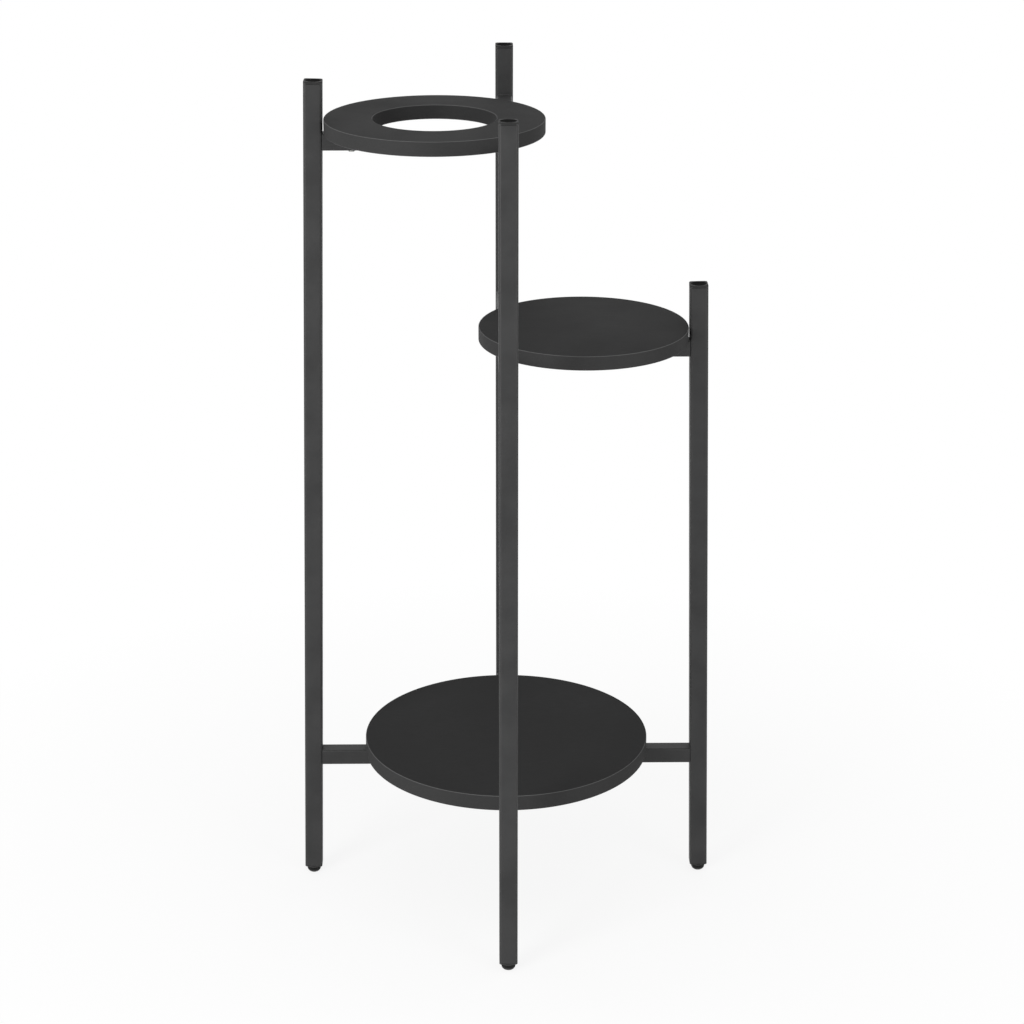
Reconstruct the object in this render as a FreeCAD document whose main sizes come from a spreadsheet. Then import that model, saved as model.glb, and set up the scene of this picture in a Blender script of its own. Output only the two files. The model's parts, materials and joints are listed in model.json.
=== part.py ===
import FreeCAD, Part
import math
import os
import types

import Sketcher
from FreeCAD import Placement, Rotation, Vector

# Tiered plant stand: four leaning square-tube legs, three tiers of rails and three round boards.
# Millimetres. +Z is up, the floor is z = 0, and the front leg stands at -Y.
# The origin is on the floor, in the middle of the four feet.

DRIVING_DIMENSIONS = (
    ("stand_height", 940.0, "floor to the top of a tall leg"),
    ("short_leg_height", 717.0, "floor to the top of the right leg"),
    ("leg_radius", 227.0, "centre of the stand to a leg's axis, on the floor"),
    ("lean_angle", 1.4, "degrees that each leg leans in towards its top"),
    ("leg_side", 20.0, "outside of the leg tube"),
    ("leg_corner", 3.0, "outside corner radius of the leg tube"),
    ("leg_wall", 1.5, "wall of the leg tube"),
    ("rail_side", 18.0, "outside of the rail tube"),
    ("rail_corner", 2.0, "outside corner radius of the rail tube"),
    ("rail_wall", 1.2, "wall of the rail tube"),
    ("bottom_shelf_top", 179.0, "floor to the top of the bottom board"),
    ("middle_shelf_drop", 47.0, "top of the right leg down to the top of the middle board"),
    ("upper_shelf_drop", 40.0, "top of the left leg down to the top of the upper ring"),
    ("bottom_shelf_diameter", 325.0, "bottom board"),
    ("middle_shelf_overlap", 30.4, "how far the middle board reaches past the stand's centre"),
    ("upper_shelf_overlap", 42.0, "how far the upper ring reaches past the stand's centre"),
    ("pot_hole_diameter", 132.0, "hole of the upper ring"),
    ("bottom_shelf_thickness", 18.0, "bottom board"),
    ("small_shelf_thickness", 16.0, "middle board and upper ring"),
    ("shelf_edge_break", 1.0, "chamfer of a board's upper edges"),
    ("shelf_leg_gap", 1.0, "between a side board and the leg that it stops at"),
    ("cap_height", 3.0, "part of the top cap that shows above the tube"),
    ("cap_edge_break", 0.7, "chamfer of the cap's top edge"),
    ("dish_diameter", 17.4, "mouth of the dish in the top cap"),
    ("dish_floor_diameter", 9.0, "bottom of the dish in the top cap"),
    ("dish_depth", 4.5, "dish in the top cap"),
    ("plug_depth", 14.0, "how far a top cap's shank reaches into its tube"),
    ("plug_clearance", 0.1, "between a plug's ribs and the tube, each side"),
    ("rib_height", 0.7, "how far a plug's ribs stand out of its shank"),
    ("rib_width", 1.2, "a plug's rib, along the tube"),
    ("rib_pitch", 3.5, "from one rib to the next"),
    ("insert_flange", 1.5, "flange of the foot insert, below the tube"),
    ("insert_depth", 22.0, "how far a foot insert reaches into its tube"),
    ("foot_height", 10.0, "floor to the foot insert, with the foot screwed right in"),
    ("foot_diameter", 16.5, "glide foot, at its neck"),
    ("foot_low_diameter", 15.0, "glide foot, at the top of its bevel"),
    ("foot_sole_diameter", 9.0, "glide foot, at the bottom of its bevel"),
    ("foot_bevel_height", 3.4, "bevel of the glide foot, above the floor"),
    ("foot_below_floor", 0.3, "depth of the sole that the flat floor cut takes away"),
    ("neck_diameter", 12.0, "neck between the foot and the insert"),
    ("neck_height", 1.5, "neck between the foot and the insert"),
    ("stud_diameter", 7.8, "threaded stud of the foot"),
    ("stud_length", 20.0, "threaded stud of the foot, above its neck"),
    ("stud_clearance", 0.08, "between the stud and the insert, on the radius"),
    ("bolt_diameter", 5.9, "shank of the leg bolt"),
    ("bolt_reach", 15.0, "how far a leg bolt reaches into its rail insert"),
    ("bolt_clearance", 0.05, "between the leg bolt and the rail insert, on the radius"),
    ("bolt_hole_clearance", 0.3, "between the leg bolt and the leg's holes, on the radius"),
    ("bolt_head_diameter", 11.0, "countersunk head of the leg bolt, flush with the leg"),
    ("bolt_head_height", 2.6, "countersunk head of the leg bolt"),
    ("bolt_socket", 4.0, "hexagon socket across its flats"),
    ("bolt_socket_depth", 1.8, "hexagon socket"),
    ("rail_insert_depth", 19.0, "threaded insert in a side rail's outer end"),
    ("screw_diameter", 4.0, "wood screw"),
    ("screw_bite", 11.0, "how far a wood screw goes into its board"),
    ("screw_clearance", 0.1, "between the wood screw and its holes, on the radius"),
    ("screw_head_diameter", 8.0, "pan head of the wood screw"),
    ("screw_head_height", 2.4, "pan head of the wood screw"),
    ("screw_head_top", 5.6, "outer end of the pan head, across"),
    ("bottom_screw_margin", 40.0, "bottom board's edge to its screws"),
    ("side_screw_margin", 25.0, "small boards' edge to their screws on the cross rail"),
    ("stub_screw_margin", 12.0, "middle side rail's insert to the screw beside it"),
    ("stub_plug_depth", 4.8, "how far the short rail's end plug reaches into it"),
    ("ring_margin", 6.0, "pot hole's edge to the inner end of the short upper rail"),
)

SIDES = {"right": 0.0, "back": 90.0, "left": 180.0, "front": -90.0}
TALL_LEGS = ("back", "left", "front")
MADE_LONGER = 40.0  # extra length that a cut then takes away
PLUG_RIBS = 2  # ribs round the shank of each plug


class Size:
    """A length or an angle that carries its value and its spreadsheet expression."""

    def __init__(self, value, text):
        self.value = value
        self.text = text

    def __add__(self, other):
        other = as_size(other)
        return Size(self.value + other.value, f"({self.text} + {other.text})")

    def __sub__(self, other):
        other = as_size(other)
        return Size(self.value - other.value, f"({self.text} - {other.text})")

    def __mul__(self, other):
        other = as_size(other)
        return Size(self.value * other.value, f"({self.text} * {other.text})")

    def __truediv__(self, other):
        other = as_size(other)
        return Size(self.value / other.value, f"({self.text} / {other.text})")

    def __neg__(self):
        return Size(-self.value, f"(0 - {self.text})")


def as_size(number):
    if isinstance(number, Size):
        return number
    return Size(float(number), f"({float(number)})")


def square_root(size):
    return Size(math.sqrt(size.value), f"sqrt({size.text})")


def cosine(angle):
    return Size(math.cos(math.radians(angle.value)), f"cos({angle.text})")


def tangent(angle):
    return Size(math.tan(math.radians(angle.value)), f"tan({angle.text})")


# ---------------------------------------------------------------- document

doc = FreeCAD.newDocument("plant_stand")
sheet = doc.addObject("Spreadsheet::Sheet", "Dims")
dim = types.SimpleNamespace()
for row, (alias, number, meaning) in enumerate(DRIVING_DIMENSIONS, start=1):
    sheet.set(f"A{row}", alias)
    sheet.set(f"B{row}", str(number))
    sheet.set(f"C{row}", meaning)
    sheet.setAlias(f"B{row}", alias)
    setattr(dim, alias, Size(number, f"Dims.{alias}"))
doc.recompute()

nodes = []  # the objects that are exported, one file each


# ---------------------------------------------------------------- drawing helpers

def new_body(label):
    body = doc.addObject("PartDesign::Body", label)
    body.Label = label
    nodes.append(body)
    return body


def new_sketch(body, name, plane_role, height=None):
    """A sketch on one of the body's own origin planes, or at a height above it."""
    sketch = body.newObject("Sketcher::SketchObject", name)
    plane = next(item for item in body.Origin.OriginFeatures if item.Role == plane_role)
    sketch.AttachmentSupport = [(plane, "")]
    sketch.MapMode = "FlatFace"
    if height is not None:
        sketch.setExpression("AttachmentOffset.Base.z", height.text)
    return sketch


def bind(sketch, constraint, size):
    index = sketch.addConstraint(constraint)
    sketch.setExpression(f"Constraints[{index}]", size.text)


def pin(sketch, geometry, point, x, y):
    """Hold one point of the sketch at x, y from its origin."""
    bind(sketch, Sketcher.Constraint("DistanceX", geometry, point, x.value), x)
    bind(sketch, Sketcher.Constraint("DistanceY", geometry, point, y.value), y)


def draw_loop(sketch, points):
    """A closed outline of straight lines through the points."""
    points = [(as_size(x), as_size(y)) for x, y in points]
    first = sketch.GeometryCount
    corners = [Vector(x.value, y.value, 0) for x, y in points]
    for start, end in zip(corners, corners[1:] + corners[:1]):
        sketch.addGeometry(Part.LineSegment(start, end))
    for index, (x, y) in enumerate(points):
        line = first + index
        following = first + (index + 1) % len(points)
        sketch.addConstraint(Sketcher.Constraint("Coincident", line, 2, following, 1))
        pin(sketch, line, 1, x, y)


def draw_circle(sketch, x, y, radius):
    x = as_size(x)
    y = as_size(y)
    centre = Vector(x.value, y.value, 0)
    circle = sketch.addGeometry(Part.Circle(centre, Vector(0, 0, 1), radius.value))
    pin(sketch, circle, 3, x, y)
    bind(sketch, Sketcher.Constraint("Radius", circle, radius.value), radius)


def draw_square(sketch, side):
    """A plain square about the sketch's origin."""
    half = side / 2
    draw_loop(sketch, ((half, half), (-half, half), (-half, -half), (half, -half)))


def draw_rounded_square(sketch, side, corner):
    """A square about the sketch's origin with four round corners."""
    half = side / 2
    inner = half - corner
    arcs = []
    lines = []
    quarter = math.pi / 2
    signs = ((1, 1), (-1, 1), (-1, -1), (1, -1))
    for index, (sx, sy) in enumerate(signs):
        centre = Vector(sx * inner.value, sy * inner.value, 0)
        circle = Part.Circle(centre, Vector(0, 0, 1), corner.value)
        start = index * quarter
        arcs.append(sketch.addGeometry(Part.ArcOfCircle(circle, start, start + quarter)))
    for index in range(4):
        start = sketch.getPoint(arcs[index], 2)
        end = sketch.getPoint(arcs[(index + 1) % 4], 1)
        lines.append(sketch.addGeometry(Part.LineSegment(start, end)))
    for index, (sx, sy) in enumerate(signs):
        following = arcs[(index + 1) % 4]
        sketch.addConstraint(Sketcher.Constraint("Tangent", arcs[index], 2, lines[index], 1))
        sketch.addConstraint(Sketcher.Constraint("Tangent", lines[index], 2, following, 1))
        pin(sketch, arcs[index], 3, inner * sx, inner * sy)
        bind(sketch, Sketcher.Constraint("Radius", arcs[index], corner.value), corner)


def draw_hexagon(sketch, across_flats):
    """A regular hexagon about the sketch's origin."""
    corner_x = across_flats / 2 / cosine(as_size(30))
    half = across_flats / 2
    draw_loop(sketch, (
        (corner_x, 0),
        (corner_x / 2, half),
        (-corner_x / 2, half),
        (-corner_x, 0),
        (-corner_x / 2, -half),
        (corner_x / 2, -half),
    ))


def pad(body, name, sketch, length, both_ways=False, downwards=False):
    feature = body.newObject("PartDesign::Pad", name)
    feature.Profile = sketch
    feature.Length = length.value
    feature.setExpression("Length", length.text)
    feature.Reversed = downwards
    if both_ways:
        feature.SideType = "Symmetric"
    doc.recompute()
    return feature


def pocket(body, name, sketch, depth=None, upwards=False):
    """Cut the sketch into the solid, or through all of it on both sides, and test that it cut."""
    before = body.Shape.Volume
    feature = body.newObject("PartDesign::Pocket", name)
    feature.Profile = sketch
    feature.Reversed = upwards
    if depth is None:
        feature.SideType = "Symmetric"
        feature.Type = "ThroughAll"
    else:
        feature.Length = depth.value
        feature.setExpression("Length", depth.text)
    doc.recompute()
    if not body.Shape.Volume < before:
        raise RuntimeError(f"{body.Label}: {name} cuts nothing")
    return feature


def turn(body, name, sketch, cut=False):
    """A full turn of the sketch about its own vertical axis."""
    kind = "PartDesign::Groove" if cut else "PartDesign::Revolution"
    before = body.Shape.Volume if cut else 0
    feature = body.newObject(kind, name)
    feature.Profile = sketch
    feature.ReferenceAxis = (sketch, ["V_Axis"])
    feature.Angle = 360
    doc.recompute()
    if cut and not body.Shape.Volume < before:
        raise RuntimeError(f"{body.Label}: {name} cuts nothing")
    return feature


def bore(body, name, sketch):
    """Cut a full turn of the sketch about its own first line, and test that it cut."""
    before = body.Shape.Volume
    feature = body.newObject("PartDesign::Groove", name)
    feature.Profile = sketch
    feature.ReferenceAxis = (sketch, ["Edge1"])
    feature.Angle = 360
    doc.recompute()
    if not body.Shape.Volume < before:
        raise RuntimeError(f"{body.Label}: {name} cuts nothing")
    return feature


def chamfer_edges(body, name, size, wanted):
    """Chamfer the edges of the body's tip that the test picks out."""
    tip = body.Tip
    names = []
    for index, edge in enumerate(tip.Shape.Edges, start=1):
        if wanted(edge):
            names.append(f"Edge{index}")
    feature = body.newObject("PartDesign::Chamfer", name)
    feature.Base = (tip, names)
    feature.Size = size.value
    feature.setExpression("Size", size.text)
    doc.recompute()
    return feature


def lies_at_height(height):
    """Test for an edge that lies flat at one height."""
    def test(edge):
        box = edge.BoundBox
        return abs(box.ZMin - height.value) < 0.001 and abs(box.ZMax - height.value) < 0.001
    return test


def place(body, heading, x=0, y=0, z=0, lean=None):
    """Turn a body about Z, after leaning it inwards, and set it at x, y, z."""
    base = "create(<<vector>>; {}; {}; {})".format(*(as_size(value).text for value in (x, y, z)))
    turned = f"create(<<rotation>>; create(<<vector>>; 0; 0; 1); {heading})"
    if lean is not None:
        tilt = f"create(<<rotation>>; create(<<vector>>; 0; 1; 0); 0 - {lean.text})"
        turned = f"{turned} * {tilt}"
    body.setExpression("Placement", f"create(<<placement>>; {base}; {turned})")


# ---------------------------------------------------------------- sizes worked out from the driving ones

leg_inside = dim.leg_side - dim.leg_wall * 2
rail_inside = dim.rail_side - dim.rail_wall * 2
half_rail = dim.rail_side / 2
lean_cosine = cosine(dim.lean_angle)
lean_tangent = tangent(dim.lean_angle)

tube_bottom = dim.foot_height + dim.insert_flange
middle_shelf_top = dim.short_leg_height - dim.middle_shelf_drop
upper_shelf_top = dim.stand_height - dim.upper_shelf_drop
bottom_rail_z = dim.bottom_shelf_top - dim.bottom_shelf_thickness - half_rail
middle_rail_z = middle_shelf_top - dim.small_shelf_thickness - half_rail
upper_rail_z = upper_shelf_top - dim.small_shelf_thickness - half_rail


def leg_face(height):
    """Distance from the stand's centre to a leg's inner face, at a height."""
    return dim.leg_radius - height * lean_tangent - dim.leg_side / 2 / lean_cosine


# a side board runs from its leg to a little past the stand's centre
middle_shelf_reach = leg_face(middle_shelf_top) - dim.shelf_leg_gap
middle_shelf_diameter = middle_shelf_reach + dim.middle_shelf_overlap
middle_shelf_x = (middle_shelf_reach - dim.middle_shelf_overlap) / 2
upper_shelf_reach = leg_face(upper_shelf_top) - dim.shelf_leg_gap
upper_shelf_diameter = upper_shelf_reach + dim.upper_shelf_overlap
upper_shelf_x = (dim.upper_shelf_overlap - upper_shelf_reach) / 2
stub_inner_end = dim.pot_hole_diameter / 2 + dim.ring_margin - upper_shelf_x


def half_chord(diameter, offset):
    """Half of the width of a round board where it crosses the front-to-back rail."""
    radius = diameter / 2
    return square_root(radius * radius - offset * offset)


bottom_screw_reach = dim.bottom_shelf_diameter / 2 - dim.bottom_screw_margin
middle_screw_y = half_chord(middle_shelf_diameter, middle_shelf_x) - dim.side_screw_margin
upper_screw_y = half_chord(upper_shelf_diameter, upper_shelf_x) - dim.side_screw_margin
middle_insert_start = leg_face(middle_rail_z) - dim.rail_insert_depth
middle_stub_screw = middle_insert_start - dim.stub_screw_margin
# the short upper rail's screw stands halfway between its plug and its insert
stub_plug_end = stub_inner_end + dim.stub_plug_depth
upper_insert_start = leg_face(upper_rail_z) - dim.rail_insert_depth
upper_stub_screw = (stub_plug_end + upper_insert_start) / 2

# where the screws of each board stand, in the stand's own x and y
BOARD_SCREWS = {
    "bottom": (
        (as_size(0), bottom_screw_reach),
        (as_size(0), -bottom_screw_reach),
        (bottom_screw_reach, as_size(0)),
        (-bottom_screw_reach, as_size(0)),
    ),
    "middle": (
        (as_size(0), middle_screw_y),
        (as_size(0), -middle_screw_y),
        (middle_stub_screw, as_size(0)),
    ),
    "upper": (
        (as_size(0), upper_screw_y),
        (as_size(0), -upper_screw_y),
        (-upper_stub_screw, as_size(0)),
    ),
}


# ---------------------------------------------------------------- legs

def place_on_leg(body, side):
    """Set a body that is drawn along a leg's own axis on that leg."""
    angle = math.radians(SIDES[side])
    x = dim.leg_radius * round(math.cos(angle))
    y = dim.leg_radius * round(math.sin(angle))
    place(body, SIDES[side], x, y, lean=dim.lean_angle)


def leg_length(side):
    """From the floor to the leg's top, along its own axis."""
    height = dim.stand_height if side in TALL_LEGS else dim.short_leg_height
    return height / lean_cosine


def make_leg(side, bolt_heights):
    """A square tube, drilled and countersunk where a side rail is bolted to it."""
    body = new_body(f"leg_{side}")
    section = new_sketch(body, f"leg_section_{side}", "XY_Plane", tube_bottom)
    draw_rounded_square(section, dim.leg_side, dim.leg_corner)
    draw_square(section, leg_inside)
    tube_length = leg_length(side) - dim.cap_height - tube_bottom
    pad(body, f"leg_tube_{side}", section, tube_length)
    if bolt_heights:
        holes = new_sketch(body, f"leg_holes_{side}", "YZ_Plane")
        for height in bolt_heights:
            radius = dim.bolt_diameter / 2 + dim.bolt_hole_clearance
            draw_circle(holes, 0, height / lean_cosine, radius)
        pocket(body, f"leg_bolt_holes_{side}", holes)
    for index, height in enumerate(bolt_heights):
        countersink(body, f"leg_countersink_{side}_{index}", height / lean_cosine)
    place_on_leg(body, side)


def countersink(body, name, height):
    """The seat of a flush bolt head, in the leg's outer wall."""
    face = dim.leg_side / 2
    seat = new_sketch(body, f"{name}_section", "XZ_Plane")
    draw_loop(seat, (
        (face - dim.bolt_head_height, height),
        (face, height),
        (face, height + dim.bolt_head_diameter / 2),
        (face - dim.bolt_head_height, height + dim.bolt_diameter / 2),
    ))
    bore(body, name, seat)


def add_ribs(body, name, side, first, direction):
    """Thin square ribs round a plug's shank, that grip the inside of its tube."""
    for index in range(PLUG_RIBS):
        height = first + dim.rib_pitch * (index * direction)
        rib = new_sketch(body, f"{name}_section_{index}", "XY_Plane", height)
        draw_square(rib, side)
        pad(body, f"{name}_{index}", rib, dim.rib_width)


def make_cap(side):
    """A plastic cap in the top of a leg, with a round dish in its upper face."""
    body = new_body(f"cap_{side}")
    top = leg_length(side)
    flange_bottom = top - dim.cap_height
    flange = new_sketch(body, f"cap_flange_section_{side}", "XY_Plane", flange_bottom)
    draw_rounded_square(flange, dim.leg_side, dim.leg_corner)
    pad(body, f"cap_flange_{side}", flange, dim.cap_height)
    chamfer_edges(body, f"cap_edge_{side}", dim.cap_edge_break, lies_at_height(top))
    ribbed_side = leg_inside - dim.plug_clearance * 2
    shank = new_sketch(body, f"cap_shank_section_{side}", "XY_Plane", flange_bottom)
    draw_square(shank, ribbed_side - dim.rib_height * 2)
    pad(body, f"cap_shank_{side}", shank, dim.plug_depth, downwards=True)
    first_rib = flange_bottom - dim.rib_pitch
    add_ribs(body, f"cap_rib_{side}", ribbed_side, first_rib, -1)
    dish = new_sketch(body, f"cap_dish_section_{side}", "XZ_Plane")
    draw_loop(dish, (
        (0, top - dim.dish_depth),
        (dim.dish_floor_diameter / 2, top - dim.dish_depth),
        (dim.dish_diameter / 2, top),
        (0, top),
    ))
    turn(body, f"cap_dish_{side}", dish, cut=True)
    place_on_leg(body, side)


def make_foot_insert(side):
    """A ribbed plug in the lower end of a leg, bored for the foot's stud."""
    body = new_body(f"foot_insert_{side}")
    flange = new_sketch(body, f"insert_flange_section_{side}", "XY_Plane", dim.foot_height)
    draw_rounded_square(flange, dim.leg_side, dim.leg_corner)
    pad(body, f"insert_flange_{side}", flange, dim.insert_flange)
    ribbed_side = leg_inside - dim.plug_clearance * 2
    shank = new_sketch(body, f"insert_shank_section_{side}", "XY_Plane", tube_bottom)
    draw_square(shank, ribbed_side - dim.rib_height * 2)
    pad(body, f"insert_shank_{side}", shank, dim.insert_depth)
    add_ribs(body, f"insert_rib_{side}", ribbed_side, tube_bottom + dim.rib_pitch, 1)
    hole = new_sketch(body, f"insert_bore_section_{side}", "XY_Plane", dim.foot_height)
    draw_circle(hole, 0, 0, dim.stud_diameter / 2 + dim.stud_clearance)
    pocket(body, f"insert_bore_{side}", hole)
    place_on_leg(body, side)


def make_foot(side):
    """A glide foot: a tapered, bevelled base with a neck and a stud, cut level with the floor."""
    body = new_body(f"foot_{side}")
    low = -dim.foot_below_floor
    base_radius = dim.foot_diameter / 2
    base_top = dim.foot_height - dim.neck_height
    stud_radius = dim.stud_diameter / 2
    stud_end = dim.foot_height + dim.stud_length
    profile = new_sketch(body, f"foot_profile_{side}", "XZ_Plane")
    draw_loop(profile, (
        (0, low),
        (dim.foot_sole_diameter / 2, low),
        (dim.foot_low_diameter / 2, dim.foot_bevel_height),
        (base_radius, base_top),
        (dim.neck_diameter / 2, base_top),
        (dim.neck_diameter / 2, dim.foot_height),
        (stud_radius, dim.foot_height),
        (stud_radius, stud_end),
        (0, stud_end),
    ))
    turn(body, f"foot_turned_{side}", profile)
    floor = new_sketch(body, f"foot_floor_{side}", "XZ_Plane")
    drop = base_radius * lean_tangent
    draw_loop(floor, (
        (-base_radius, drop),
        (-base_radius, low - drop - base_radius),
        (base_radius, low - drop - base_radius),
        (base_radius, -drop),
    ))
    pocket(body, f"foot_sole_{side}", floor)
    place_on_leg(body, side)


# ---------------------------------------------------------------- rails

def trim_rail_end(body, name, rail_z, side_sign):
    """Cut a rail's end to the slope of the leg's inner face."""
    reach_low = leg_face(rail_z - half_rail)
    reach_high = leg_face(rail_z + half_rail)
    far = leg_face(rail_z) + MADE_LONGER * 2
    end = new_sketch(body, name + "_line", "XZ_Plane")
    draw_loop(end, (
        (reach_low * side_sign, -half_rail),
        (far * side_sign, -half_rail),
        (far * side_sign, half_rail),
        (reach_high * side_sign, half_rail),
    ))
    pocket(body, name, end)


def drill_rail(body, name, places):
    """Holes for the wood screws, down through both walls."""
    holes = new_sketch(body, name + "_section", "XY_Plane")
    for along in places:
        draw_circle(holes, along, 0, dim.screw_diameter / 2 + dim.screw_clearance)
    pocket(body, name, holes)


def make_cross_rail(tier, rail_z, screw_y):
    """The rail that joins the front and the back leg, welded to both."""
    label = f"{tier}_cross_rail"
    body = new_body(label)
    section = new_sketch(body, f"{label}_section", "YZ_Plane")
    draw_rounded_square(section, dim.rail_side, dim.rail_corner)
    draw_square(section, rail_inside)
    length = leg_face(rail_z) * 2 + MADE_LONGER
    pad(body, f"{label}_tube", section, length, both_ways=True)
    trim_rail_end(body, f"{label}_back_end", rail_z, 1)
    trim_rail_end(body, f"{label}_front_end", rail_z, -1)
    drill_rail(body, f"{label}_screw_holes", (screw_y, -screw_y))
    place(body, SIDES["back"], z=rail_z)


def make_side_rail(tier, side, rail_z, inner_end, screw_x):
    """A rail from the cross rail, or from clear of the pot hole, out to a side leg."""
    label = f"{tier}_{side}_rail"
    body = new_body(label)
    section = new_sketch(body, f"{label}_section", "YZ_Plane", inner_end)
    draw_rounded_square(section, dim.rail_side, dim.rail_corner)
    draw_square(section, rail_inside)
    length = leg_face(rail_z) - inner_end + MADE_LONGER
    pad(body, f"{label}_tube", section, length)
    trim_rail_end(body, f"{label}_leg_end", rail_z, 1)
    drill_rail(body, f"{label}_screw_hole", (screw_x,))
    place(body, SIDES[side], z=rail_z)


def make_rail_insert(tier, side, rail_z):
    """A threaded plug in a side rail's outer end, cut flush with the leg's face."""
    label = f"{tier}_{side}_rail_insert"
    body = new_body(label)
    start = leg_face(rail_z) - dim.rail_insert_depth
    section = new_sketch(body, f"{label}_section", "YZ_Plane", start)
    draw_square(section, rail_inside - dim.plug_clearance * 2)
    pad(body, f"{label}_plug", section, dim.rail_insert_depth + MADE_LONGER)
    trim_rail_end(body, f"{label}_end", rail_z, 1)
    place(body, SIDES[side], z=rail_z)
    drill_along_bolt(body, label, rail_z)


def drill_along_bolt(body, label, rail_z):
    """Bore the insert along the leg bolt, which stands square to the leaning leg."""
    section = new_sketch(body, f"{label}_bore_section", "XZ_Plane")
    radius = dim.bolt_diameter / 2 + dim.bolt_clearance
    start = leg_face(rail_z) - dim.rail_insert_depth * 2
    end = leg_face(rail_z) + dim.leg_side
    axis_x = dim.leg_radius - rail_z * lean_tangent
    low_start = (start - axis_x) * lean_tangent
    low_end = (end - axis_x) * lean_tangent
    draw_loop(section, (
        (start, low_start),
        (end, low_end),
        (end, low_end + radius),
        (start, low_start + radius),
    ))
    bore(body, f"{label}_bore", section)


def make_stub_plug():
    """A cap in the open inner end of the short upper rail."""
    label = "upper_left_rail_plug"
    body = new_body(label)
    flange = new_sketch(body, f"{label}_flange_section", "YZ_Plane", stub_inner_end)
    draw_rounded_square(flange, dim.rail_side, dim.rail_corner)
    pad(body, f"{label}_flange", flange, dim.insert_flange, downwards=True)
    shank = new_sketch(body, f"{label}_shank_section", "YZ_Plane", stub_inner_end)
    draw_square(shank, rail_inside - dim.plug_clearance * 2)
    pad(body, f"{label}_shank", shank, dim.stub_plug_depth)
    place(body, SIDES["left"], z=upper_rail_z)


# ---------------------------------------------------------------- boards

def make_board(tier, label, diameter, thickness, top, board_x, hole=None):
    """A round board with chamfered upper edges, and blind holes below for its screws."""
    body = new_body(label)
    outline = new_sketch(body, f"{label}_outline", "XY_Plane")
    draw_circle(outline, 0, 0, diameter / 2)
    if hole is not None:
        draw_circle(outline, 0, 0, hole / 2)
    pad(body, f"{label}_disc", outline, thickness)
    chamfer_edges(body, f"{label}_edges", dim.shelf_edge_break, lies_at_height(thickness))
    pilots = new_sketch(body, f"{label}_pilot_section", "XY_Plane")
    for x, y in BOARD_SCREWS[tier]:
        radius = dim.screw_diameter / 2 + dim.screw_clearance
        draw_circle(pilots, x - board_x, y, radius)
    pocket(body, f"{label}_pilots", pilots, dim.screw_bite + dim.screw_clearance, upwards=True)
    place(body, 0, x=board_x, z=top - thickness)


# ---------------------------------------------------------------- fasteners

def make_template(label, profile_points):
    """A turned fastener along Z, head downwards, that the groups copy."""
    body = doc.addObject("PartDesign::Body", label)
    profile = new_sketch(body, f"{label}_profile", "XZ_Plane")
    draw_loop(profile, profile_points)
    turn(body, f"{label}_turned", profile)
    return body


def make_group(label, template, placements):
    """Identical fasteners as separate solids in one node."""
    solids = []
    for placement in placements:
        solid = template.Shape.copy()
        solid.Placement = placement.multiply(solid.Placement)
        solids.append(solid)
    group = doc.addObject("Part::Feature", label)
    group.Label = label
    group.Shape = Part.makeCompound(solids)
    nodes.append(group)


def make_screw_template():
    """A pan-head wood screw. z = 0 is the rail's underside."""
    shank = dim.screw_diameter / 2
    tip = dim.rail_side + dim.screw_bite
    return make_template("shelf_screw_template", (
        (0, -dim.screw_head_height),
        (dim.screw_head_top / 2, -dim.screw_head_height),
        (dim.screw_head_diameter / 2, 0),
        (shank, 0),
        (shank, tip),
        (0, tip),
    ))


def make_bolt_template():
    """A flush, countersunk bolt. z = 0 is the leg's outer face, and the shank points up."""
    shank = dim.bolt_diameter / 2
    tip = dim.leg_side + dim.bolt_reach
    body = make_template("leg_bolt_template", (
        (0, 0),
        (dim.bolt_head_diameter / 2, 0),
        (shank, dim.bolt_head_height),
        (shank, tip),
        (0, tip),
    ))
    socket = new_sketch(body, "leg_bolt_socket_section", "XY_Plane")
    draw_hexagon(socket, dim.bolt_socket)
    pocket(body, "leg_bolt_socket", socket, dim.bolt_socket_depth, upwards=True)
    return body


def screw_placements(tier, rail_z):
    underside = (rail_z - half_rail).value
    return [Placement(Vector(x.value, y.value, underside), Rotation())
            for x, y in BOARD_SCREWS[tier]]


def bolt_placements(side, rail_heights):
    """Bolts that point inwards, square to the leaning leg, at the rails' mid height."""
    leg = doc.getObject(f"leg_{side}").Placement
    inwards = Rotation(Vector(0, 1, 0), -90)
    placements = []
    for height in rail_heights:
        along = (height / lean_cosine).value
        seat = Placement(Vector((dim.leg_side / 2).value, 0, along), inwards)
        placements.append(leg.multiply(seat))
    return placements


# ---------------------------------------------------------------- the stand

make_leg("front", ())
make_leg("back", ())
make_leg("left", (bottom_rail_z, upper_rail_z))
make_leg("right", (bottom_rail_z, middle_rail_z))
for leg_name in SIDES:
    make_cap(leg_name)
    make_foot_insert(leg_name)
    make_foot(leg_name)

make_cross_rail("bottom", bottom_rail_z, bottom_screw_reach)
make_cross_rail("middle", middle_rail_z, middle_screw_y)
make_cross_rail("upper", upper_rail_z, upper_screw_y)
make_side_rail("bottom", "left", bottom_rail_z, half_rail, bottom_screw_reach)
make_side_rail("bottom", "right", bottom_rail_z, half_rail, bottom_screw_reach)
make_side_rail("middle", "right", middle_rail_z, half_rail, middle_stub_screw)
make_side_rail("upper", "left", upper_rail_z, stub_inner_end, upper_stub_screw)
make_rail_insert("bottom", "left", bottom_rail_z)
make_rail_insert("bottom", "right", bottom_rail_z)
make_rail_insert("middle", "right", middle_rail_z)
make_rail_insert("upper", "left", upper_rail_z)
make_stub_plug()

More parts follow.
